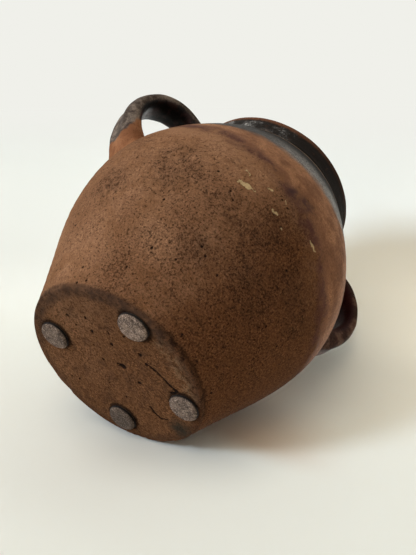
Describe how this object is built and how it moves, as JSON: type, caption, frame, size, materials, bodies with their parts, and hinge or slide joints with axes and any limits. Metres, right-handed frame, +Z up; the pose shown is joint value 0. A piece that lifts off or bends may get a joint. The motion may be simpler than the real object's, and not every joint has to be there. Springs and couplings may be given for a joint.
{
  "type": "two-handled vessel",
  "caption": "Round-bellied earthenware storage pot with an everted lip, strap handles on its shoulder and stick-on felt pads under its foot.",
  "frame": {"origin": "on the ground under the middle of the pot, at the underside of its felt pads", "axes": "+Z up along the pot's turning axis towards its mouth, +X towards one handle and -X towards the other"},
  "size_m": [0.228, 0.186, 0.204],
  "materials": {
    "raw_clay": "unglazed, fired and worn",
    "dark_glaze": "dark satin glaze",
    "wool_felt": "pressed wool felt",
    "pad_glue": "matt adhesive film"
  },
  "bodies": {
    "root": {"pot_body": "raw_clay", "handle_right": "dark_glaze", "handle_left": "dark_glaze", "felt_pad_back_left": "wool_felt", "felt_pad_front_left": "wool_felt", "felt_pad_front_right": "wool_felt", "felt_pad_back_right": "wool_felt", "glue_film_back_left": "pad_glue", "glue_film_front_left": "pad_glue", "glue_film_front_right": "pad_glue", "glue_film_back_right": "pad_glue"}
  },
  "joints": []
}
